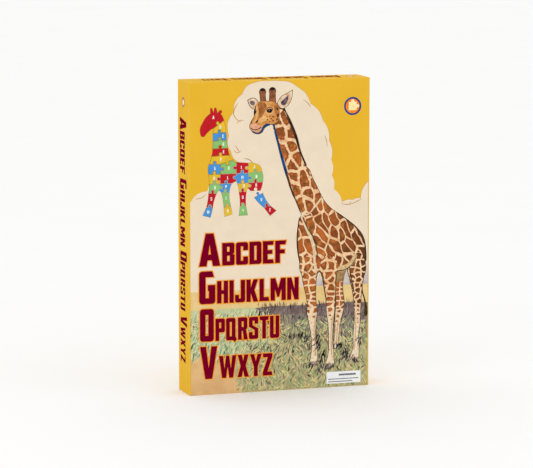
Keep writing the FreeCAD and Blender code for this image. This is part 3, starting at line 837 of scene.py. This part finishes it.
def draw_giraffe_head():
    """The horns, ears and face, from the far parts to the lines of the face."""
    stamp("giraffe_horns", each(LEFT_HORN, RIGHT_HORN), 15, (156, 96, 60), (108, 58, 38), 4)
    stamp("giraffe_ears", each(LEFT_EAR, RIGHT_EAR), 15, (238, 216, 190), (208, 162, 116), 5)
    tips = each(oval(-25, 416.6, 7.4, 3.6), oval(-11, 417.6, 7.8, 3.6))
    stamp("horn_tips", tips, 16, (24, 18, 20), (56, 38, 32), 3)
    hollows = each([(1, 398), (6, 404), (12, 409, 1), (11, 402), (6, 395)],
                   [(-36, 400), (-40, 402), (-43, 401), (-39, 396)])
    stamp("ear_hollows", hollows, 16, (122, 104, 112), (58, 44, 50), 4)
    stamp("giraffe_head", [[HEAD]], 16, (224, 162, 92), (188, 118, 58), 6)
    brow = each(
        [(-31.5, 398), (-24, 399.5), (-19.5, 395), (-21.5, 389), (-25, 382.5), (-29, 379), (-30.5, 388)],
        [(-4, 396), (-8.6, 393), (-7, 386), (-3.4, 379), (-1.4, 388)],
    )
    stamp("head_shading", brow, 17, (138, 80, 42), (184, 118, 62), 5)
    lights = each(
        [(-31, 372.5), (-23, 374), (-17.5, 377.5), (-20.5, 381), (-27, 379)],
        oval(-15.2, 388.6, 11.6, 11.0),
        ribbon([(-33.2, 396), (-33.2, 388), (-33.4, 381), (-36.4, 374)], 1.2, 2.4, 1.6),
    )
    stamp("head_lights", lights, 17.3, (236, 190, 126), (218, 158, 92), 3)
    muzzle = [(-42.8, 368.4), (-37, 371), (-31, 369), (-26.6, 366.4), (-28.4, 361.8), (-33, 359.8),
              (-39.5, 361.6), (-42.2, 364.6)]
    stamp("muzzle", [[muzzle]], 17, (232, 184, 150), (210, 138, 104), 5)
    dark_marks = each(
        [(-19.4, 387.6), (-17, 390.8), (-13.4, 390.8), (-11, 388.4), (-12.6, 385.8), (-15.6, 385.2)],
        [(-37.2, 388.4), (-34.6, 389), (-34.4, 386), (-36.6, 384.8)],
        oval(-33.4, 374, 1.9, 5.2, -0.75),
        ribbon([(-39.6, 377), (-41.2, 374), (-41, 371.4)], 0.4, 1.2, 0.4),
        ribbon([(-41.8, 364.8), (-37, 362.8), (-32, 363.4), (-27.2, 366.6)], 0.5, 1.4, 0.5),
        oval(-4.2, 390.6, 2.0, 4.6, 0.3),
        oval(-3.2, 381.6, 2.2, 5.2, -0.2),
        oval(-4.6, 376, 1.8, 4.2, -0.6),
        ribbon([(-34.6, 396), (-36.4, 388), (-36.8, 382)], 0.4, 1.2, 0.4),
    )
    stamp("giraffe_face_lines", dark_marks, 18, (24, 18, 20), (56, 38, 32), 3)
    spots = each(
        oval(-18.7, 380, 2.2, 1.5),
        oval(-14.9, 380, 2.2, 1.8),
        oval(-10.2, 380, 3.0, 2.3, 0.5),
        oval(-12.8, 377.4, 2.2, 2.0, 0.8),
        oval(-18.2, 375.8, 2.4, 2.0),
        oval(-10, 374.6, 2.6, 2.1, 0.8),
        oval(-15.4, 373, 2.2, 1.9),
        ribbon([(-20.4, 389.2), (-17, 392.6), (-13, 392.4), (-10, 388.8)], 0.5, 1.6, 0.5),
    )
    stamp("cheek_spots", spots, 18, (116, 46, 28), (150, 72, 38), 3)
    stamp("eye_glint", [[oval(-15.8, 389, 0.9, 0.8)]], 19, (246, 246, 242), (220, 224, 232), 3)


TITLE_ROWS = [
    # word, left, foot, width
    ("ABCDEF", -116, 178, 125),
    ("GHIJKLMN", -116, 126, 143),
    ("OPQRSTU", -115, 74, 114),
    ("VWXYZ", -115, 22, 104),
]
TALL = 45.0
SMALL = 31.0


def title_ink(name):
    return printed(name, MAROON, paint(124, 2, 36), 14, specular=0.0)


def draw_title():
    """Four rows of the alphabet, maroon with an orange edge."""
    shapes = []
    for word, left, foot, width in TITLE_ROWS:
        shapes += lettering(word, left, foot, TALL, SMALL, width)
    stamp("title_edge", shapes, 11, (242, 146, 34), (250, 172, 46), 8, 1.2)
    ink("title", shapes, 12, title_ink("title_ink"))


PRINTED_SCALE = 0.43
PRINTED_LEFT = -114.0
PRINTED_FOOT = 245.0
LOOSE_LEG = "vz"
LOOSE_LEG_TURN = math.radians(24)
LOOSE_LEG_SHIFT = Vector((2.2, -5.0))
FLATNESS = 0.01 * MM        # how far from a piece's front a point may be and still be on it


def front_outline(letter):
    """The outline of a wooden piece's flat front, in millimetres, as seen from the front."""
    mesh = frame["nodes"][f"piece_{letter}"].data
    front = min(v.co.y for v in mesh.vertices)
    flat = {v.index for v in mesh.vertices if v.co.y < front + FLATNESS}
    seen = {v.index: (round(v.co.x / MM, 3), round(v.co.z / MM, 3)) for v in mesh.vertices}
    uses = {}
    where = {}
    for face in mesh.polygons:
        if not flat.issuperset(face.vertices):
            continue
        ring = [seen[i] for i in face.vertices]
        for a, b in zip(ring, ring[1:] + ring[:1]):
            uses[frozenset((a, b))] = uses.get(frozenset((a, b)), 0) + 1
            where[a] = where.get(a, []) + [b]
    follow = {a: [b for b in bs if uses[frozenset((a, b))] == 1] for a, bs in where.items()}
    start = next(a for a, bs in follow.items() if bs)
    loop, here = [start], follow[start][0]
    while here != start:
        loop.append(here)
        here = follow[here][0]
    return loop


def middle_of(loop):
    """The middle of the area inside a loop."""
    area, x, y = 0.0, 0.0, 0.0
    for (x0, y0), (x1, y1) in zip(loop, loop[1:] + loop[:1]):
        cross = x0 * y1 - x1 * y0
        area += cross
        x += (x0 + x1) * cross
        y += (y0 + y1) * cross
    return Vector((x / (3 * area), y / (3 * area)))


def picture_place(outlines, letter):
    """A function that puts points of the real puzzle in its picture, with the last leg swung loose."""
    every = [p for loop in outlines.values() for p in loop]
    left, foot = min(p[0] for p in every), min(p[1] for p in every)
    loose = letter in LOOSE_LEG
    thigh = outlines[LOOSE_LEG[0]]
    knee = Vector((sum(p[0] for p in thigh) / len(thigh), max(p[1] for p in thigh)))
    corner = Vector((PRINTED_LEFT, PRINTED_FOOT))

    def place(point):
        real = Vector(point)
        if loose:
            real = knee + Matrix.Rotation(LOOSE_LEG_TURN, 2) @ (real - knee)
        spot = corner + (real - Vector((left, foot))) * PRINTED_SCALE
        return spot + LOOSE_LEG_SHIFT if loose else spot

    return place


def centred_letter(letter, centre, height):
    """A capital whose middle is at the given point."""
    unit = height / 10
    left = centre.x - glyph_width(letter) * unit / 2
    return letter_shape(letter, left, centre.y - height / 2, unit, unit)


PRINTED_LETTER = 4.4
WOODEN_LETTER = 11.0
LETTER_ROOM = 1.2           # free wood round a letter
LETTER_SHIFTS = {"a": (8, 14), "c": (9, 0), "d": (8, 0), "e": (10, 0)}
LETTER_REACH = 16           # how far a letter may move to find its place
LETTER_TURNS = 16           # and in how many directions


def encloses(loop, point):
    """Whether a point is inside a loop."""
    crossings = 0
    for (x0, y0), (x1, y1) in zip(loop, loop[1:] + loop[:1]):
        if (y0 > point.y) != (y1 > point.y):
            crossings += x0 + (point.y - y0) / (y1 - y0) * (x1 - x0) > point.x
    return crossings % 2 == 1


def letter_centre(letter, outline):
    """Where a piece's letter stands: at its middle, or as near to it as keeps clear of the knobs. The
    head's letter is on its crown, and some letters of the neck stand to the right."""
    middle = middle_of(outline) + Vector(LETTER_SHIFTS.get(letter, (0, 0)))
    wide = glyph_width(letter.upper()) * WOODEN_LETTER / 20 + LETTER_ROOM
    high = WOODEN_LETTER / 2 + LETTER_ROOM
    grid = [(i, j) for i in range(-3, 4) for j in range(-3, 4)]
    rim = [Vector((wide * i / 3, high * j / 3)) for i, j in grid if 3 in (abs(i), abs(j))]
    for reach in range(LETTER_REACH):
        for step in range(LETTER_TURNS):
            turn = math.tau * step / LETTER_TURNS
            centre = middle + reach * Vector((math.cos(turn), math.sin(turn)))
            if all(encloses(outline, centre + point) for point in rim):
                return centre
    return middle


def draw_printed_puzzle(outlines):
    """The picture of the finished puzzle, taken from the wooden pieces themselves."""
    by_colour = {key: [] for key in PIECE_PAINT}
    letters = []
    for letter, outline in outlines.items():
        place = picture_place(outlines, letter)
        by_colour[PIECE_COLOURS[letter]].append([corners(*[place(p) for p in outline])])
        centre = place(letter_centre(letter, outline))
        letters.append(centred_letter(letter.upper(), centre, PRINTED_LETTER))
    everything = [shape for shapes in by_colour.values() for shape in shapes]
    stamp("printed_seams", everything, 3.5, (96, 72, 60), (60, 48, 44), 5, 0.3)
    for key, shapes in by_colour.items():
        tint = printed(f"printed_{key}_ink", PIECE_PAINT[key], shade(PIECE_PAINT[key], 0.85), 14)
        ink(f"printed_pieces_{key}", shapes, 5, tint, 0.03)
    stamp("printed_letters", letters, 6.5, (246, 246, 242), (214, 226, 238), 6)


def badge_knob(x, y, radius, turn):
    """A round knob's outline, open at the back."""
    turns = [turn + angle for angle in (-1.9, -1.1, 0, 1.1, 1.9)]
    return [(x + radius * math.cos(angle), y + radius * math.sin(angle)) for angle in turns]


def badge_piece(x, y, size):
    """A jigsaw piece with knobs on its right and upper sides."""
    half = size * 0.23
    radius = half * 0.42
    reach = half + radius * 0.6
    right_knob = badge_knob(x + reach, y, radius, 0)
    upper_knob = badge_knob(x, y + reach, radius, math.pi / 2)
    return [(x - half, y - half, 1), (x + half, y - half, 1), *right_knob, (x + half, y + half, 1),
            *upper_knob, (x - half, y + half, 1)]


def draw_badge(name, x, y, size, where):
    """A round badge, blue and orange, with a cream jigsaw piece on it."""
    disc = oval(x, y, size, size)
    field = oval(x, y, size * 0.8, size * 0.8)
    piece = badge_piece(x, y, size)
    stamp(f"{name}_disc", [[disc]], 1, (14, 74, 150), (6, 52, 118), 6, where=where)
    stamp(f"{name}_field", [[field]], 2, (248, 138, 18), (238, 118, 10), 6, where=where)
    stamp(f"{name}_piece", [[piece]], 3, (252, 238, 184), (246, 222, 150), 6, where=where)


def draw_label():
    """A plain white label with grey bars where small print would be."""
    stamp("label", [[block(68, 5, 118, 21.5)]], 16, (246, 246, 242), (236, 238, 240), 20)
    bars = each(block(86, 15.6, 111, 18.2), block(70.5, 10.6, 115, 11.8), block(70.5, 7.0, 106, 8.2))
    stamp("label_bars", bars, 17, (120, 120, 124), (92, 92, 96), 10)


# ---- The side panels ----

# words, and their shares of the line
PANEL_WORDS = [("ABCDEF", 5.0), ("GHIJKLMN", 6.0), ("OPQRSTU", 5.3), ("VWXYZ", 4.2)]
PANEL_GAP = 7.0
PANEL_TALL = 31.0
PANEL_SMALL = 23.0
PANEL_FOOT = -42.0          # the letters' feet are this far behind the face
PANEL_BADGE = 13.0


def draw_panel(name, side, start, length, badge_x):
    """The alphabet in one line along a side of the lid, with a small badge before it."""
    whole = sum(share for _, share in PANEL_WORDS)
    room = length - PANEL_GAP * (len(PANEL_WORDS) - 1)
    shapes = []
    for word, share in PANEL_WORDS:
        width = room * share / whole
        shapes += lettering(word, start, PANEL_FOOT, PANEL_TALL, PANEL_SMALL, width)
        start += width + PANEL_GAP
    ink(f"{name}_title", shapes, 1, title_ink(f"{name}_ink"), where=side)
    draw_badge(f"{name}_badge", badge_x, -SKIRT / 2, PANEL_BADGE, side)


# ---- The wooden pieces, the insert and the boards ----

def finish_solids():
    """Gives every carried-over solid its material."""
    yellow = worn_wrap()
    board = greyboard()
    insert = insert_board()
    tape = printed("stay_tape", paint(206, 176, 130), paint(190, 158, 112), 12)
    looks = {
        "lid_wrap": yellow, "base_wrap": yellow, "lid_board": board, "base_board": board,
        "lid_corner_stays": tape, "base_corner_stays": tape, "insert_pad": insert, "insert_frame": insert,
    }
    paints = {key: painted_wood(f"wood_{key}", colour) for key, colour in PIECE_PAINT.items()}
    looks.update({f"piece_{c}": paints[PIECE_COLOURS[c]] for c in LETTERS})
    for name, material in looks.items():
        dress(frame["nodes"][name].data, material)


def paint_letters(outlines):
    """The white capital on the front of each wooden piece."""
    white = printed("letter_paint", WHITE, paint(238, 238, 232), 6, specular=0.4)
    slots = {part["node"]: part["material_slot"] for part in frame["record"]["subparts"]}
    for letter, outline in outlines.items():
        piece = f"piece_{letter}"
        low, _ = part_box(piece)
        front = Matrix.Translation((0, low.y - LID_LOW.y, 0)) @ FACE
        shape = centred_letter(letter.upper(), letter_centre(letter, outline), WOODEN_LETTER)
        ink(f"letter_{letter}", [shape], 1, white, where=front, body=piece, slot=slots[piece])


# ---- Floor, light and camera ----

FLOOR_REACH = 12.0          # metres from the middle to each side


def make_stage():
    """A floor that reaches far past the box."""
    mesh = bpy.data.meshes.new("floor")
    far = FLOOR_REACH
    mesh.from_pydata([(-far, -far, 0), (far, -far, 0), (far, far, 0), (-far, far, 0)], [], [(0, 1, 2, 3)])
    mesh.materials.append(plain_floor())
    floor = bpy.data.objects.new("floor", mesh)
    bpy.context.scene.collection.objects.link(floor)


LAMPS = [
    # name, place and width in metres, power in watts
    ("key", (-2.4, -1.7, 1.9), 1.8, 6.0),
    ("fill", (1.8, -1.8, 1.0), 2.0, 2.0),
]


def make_light():
    """A white studio with two soft lamps."""
    world = bpy.data.worlds.new("studio")
    world.use_nodes = True
    world.node_tree.nodes["Background"].inputs["Color"].default_value = (1.0, 1.0, 1.0, 1.0)
    world.node_tree.nodes["Background"].inputs["Strength"].default_value = 1.0
    bpy.context.scene.world = world
    for name, place, width, power in LAMPS:
        light = bpy.data.lights.new(name, "AREA")
        light.shape = "DISK"
        light.size = width
        light.energy = power
        lamp = bpy.data.objects.new(name, light)
        lamp.location = place
        aim = Vector((0, 0, LID_HIGH.z / 2)) - Vector(place)
        lamp.rotation_euler = aim.to_track_quat("-Z", "Y").to_euler()
        bpy.context.scene.collection.objects.link(lamp)


CAMERA_YAW = math.radians(-18)
CAMERA_PITCH = math.radians(8)
CAMERA_DISTANCE = 4.02
CAMERA_LENS = 197.0
CAMERA_SENSOR = 36.0
CAMERA_AIM = Vector((-0.011, 0.0, LID_HIGH.z / 2))


def make_camera():
    """A long lens, a little to the left of the box and above it."""
    camera = bpy.data.cameras.new("camera")
    camera.lens = CAMERA_LENS
    camera.sensor_width = CAMERA_SENSOR
    seen = bpy.data.objects.new("camera", camera)
    level = math.cos(CAMERA_PITCH)
    back = Vector((math.sin(CAMERA_YAW) * level, -math.cos(CAMERA_YAW) * level, math.sin(CAMERA_PITCH)))
    seen.location = CAMERA_AIM + back * CAMERA_DISTANCE
    seen.rotation_mode = "QUATERNION"
    seen.rotation_quaternion = (-back).to_track_quat("-Z", "Y")
    bpy.context.scene.collection.objects.link(seen)
    bpy.context.scene.camera = seen
    bpy.context.scene.view_settings.view_transform = "Standard"


def main():
    outlines = {letter: front_outline(letter) for letter in LETTERS}
    finish_solids()
    paint_letters(outlines)
    draw_sky()
    draw_land()
    chance = random.Random(26)
    draw_blades(chance)
    draw_tufts(chance)
    draw_giraffe()
    draw_title()
    draw_printed_puzzle(outlines)
    draw_badge("badge", 105, 391, 25, FACE)
    draw_label()
    draw_panel("spine", SPINE, 50, FACE_HEIGHT - 92, 29)
    draw_panel("top", TOP, 34, FACE_WIDTH - 62, 20)
    make_stage()
    make_light()
    make_camera()


main()
